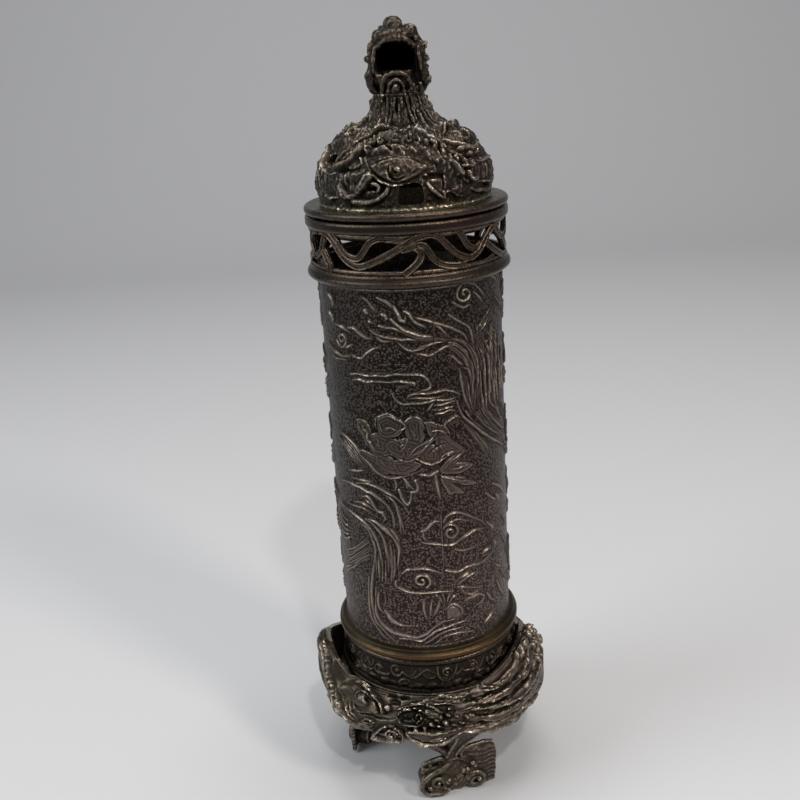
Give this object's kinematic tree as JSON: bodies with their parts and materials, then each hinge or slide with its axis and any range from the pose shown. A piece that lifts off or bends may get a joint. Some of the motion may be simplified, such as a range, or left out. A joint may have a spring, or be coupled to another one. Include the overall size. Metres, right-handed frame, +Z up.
{
  "type": "bronze incense burner",
  "caption": "Upright bronze incense tube with a phoenix and peony relief, a pierced smoke band, a dragon lid that lifts off, and a footed dragon base holding a stick holder.",
  "frame": {"origin": "on the ground plane under the middle of the tube", "axes": "+Z up along the tube, -Y towards the front with the dragon's open mouth, +X to the right of that view"},
  "size_m": [0.0704, 0.0707, 0.2198],
  "materials": {
    "cast_bronze": "dark brown patina on cast bronze, worn lighter on the ridges",
    "relief_bronze": "umber patina with ring-punched ground and rubbed relief",
    "ring_bronze": "turned bronze, satin, dark patina with light rubbed edges",
    "rubbed_brass": "golden alloy rubbed bright through the patina",
    "holder_brass": "plain turned brass, stained by ash"
  },
  "bodies": {
    "base": {"base_cup": "cast_bronze", "base_floor": "cast_bronze", "dragon_wreath": "cast_bronze", "foot_front": "cast_bronze", "foot_right": "cast_bronze", "foot_left": "cast_bronze"},
    "tube": {"foot_ring": "rubbed_brass", "relief_tube": "relief_bronze", "bead_ring": "ring_bronze", "pierced_band": "cast_bronze", "collar_ring": "ring_bronze"},
    "lid": {"lid_flange": "ring_bronze", "lid_spigot": "cast_bronze", "lid_dome": "cast_bronze", "dragon_neck": "cast_bronze", "dragon_head": "cast_bronze"},
    "holder": {"ash_dish": "holder_brass", "stick_socket": "holder_brass", "holder_nut": "holder_brass"}
  },
  "joints": [
    {"name": "tube_lift", "type": "slide", "parent": "base", "child": "tube", "axis": [0, 0, 1], "range_m": [0, 0.06]},
    {"name": "lid_lift", "type": "slide", "parent": "tube", "child": "lid", "axis": [0, 0, 1], "range_m": [0, 0.03]},
    {"name": "holder_lift", "type": "slide", "parent": "base", "child": "holder", "axis": [0, 0, 1], "range_m": [0, 0.03]}
  ]
}
